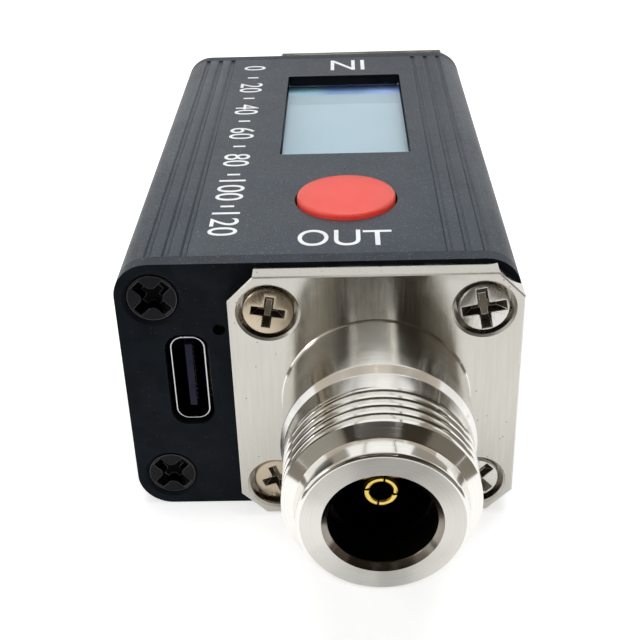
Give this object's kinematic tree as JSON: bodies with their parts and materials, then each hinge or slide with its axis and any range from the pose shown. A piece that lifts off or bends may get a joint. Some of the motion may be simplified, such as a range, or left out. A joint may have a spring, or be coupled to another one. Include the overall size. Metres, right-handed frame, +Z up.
{
  "type": "rf power meter",
  "caption": "Inline RF power meter in an extruded black case, with a threaded coaxial socket at each end, a display window and sprung push button on top, and an upright charging port.",
  "frame": {"origin": "centre of the case's underside", "axes": "+Z up, +Y from the output socket to the input socket, +X to the right seen from the output end"},
  "size_m": [0.0356, 0.0968, 0.0266],
  "materials": {
    "case": "bead-blasted and black anodised, fine metallic sparkle",
    "end_plate": "black anodised, fine matt",
    "black_screw": "black oxide, semi-gloss",
    "nickel": "nickel plate over brass, turned and satin",
    "insulator": "dark moulded insulator",
    "gold": "gold plate",
    "silver_screw": "nickel-plated steel",
    "tape": "black adhesive tape",
    "pane": "clear gloss pane",
    "lcd": "blank pale display, glossy",
    "reflector": "white diffuser",
    "black_moulding": "black moulded plastic",
    "board": "green solder mask over glass fibre",
    "spacer": "turned brass",
    "copper": "tinned copper",
    "tinplate": "bright plated sheet steel",
    "led": "clear lens over a pale base",
    "battery": "aluminium-laminate pouch",
    "pad": "foam adhesive pad",
    "leads": "insulated wire",
    "button": "coral red moulded plastic, soft sheen",
    "stem": "natural moulded plastic"
  },
  "bodies": {
    "housing": {"case_tube": "case", "front_end_plate": "end_plate", "rear_end_plate": "end_plate", "plate_screws": "black_screw", "out_connector_body": "nickel", "out_insulator": "insulator", "out_contact": "gold", "in_connector_body": "nickel", "in_insulator": "insulator", "in_contact": "gold", "corner_screws": "silver_screw", "flange_screws": "silver_screw", "window_tape": "tape", "display_window": "pane", "lcd_glass": "lcd", "lcd_reflector": "reflector", "lcd_frame": "black_moulding", "display_board": "board", "controller_chip": "black_moulding", "board_spacers": "spacer", "spacer_screws": "silver_screw", "board_plug": "black_moulding", "board_socket": "black_moulding", "main_board": "board", "coupler_line": "copper", "shield_can": "tinplate", "detector_chips": "black_moulding", "charging_board": "board", "charger_chip": "black_moulding", "charge_led": "led", "usb_shell": "tinplate", "usb_tongue": "black_moulding", "usb_contacts": "gold", "battery_cell": "battery", "battery_pad": "pad", "battery_leads": "leads", "switch_housing": "black_moulding", "switch_cover": "tinplate", "switch_dome": "tinplate"},
    "button": {"button_cap": "button", "switch_stem": "stem"}
  },
  "joints": [
    {"name": "button_press", "type": "slide", "parent": "housing", "child": "button", "axis": [0, 0, -1], "range_m": [0, 0.0003], "stiffness_N_per_m": 4000, "deforming": ["switch_dome"]}
  ]
}
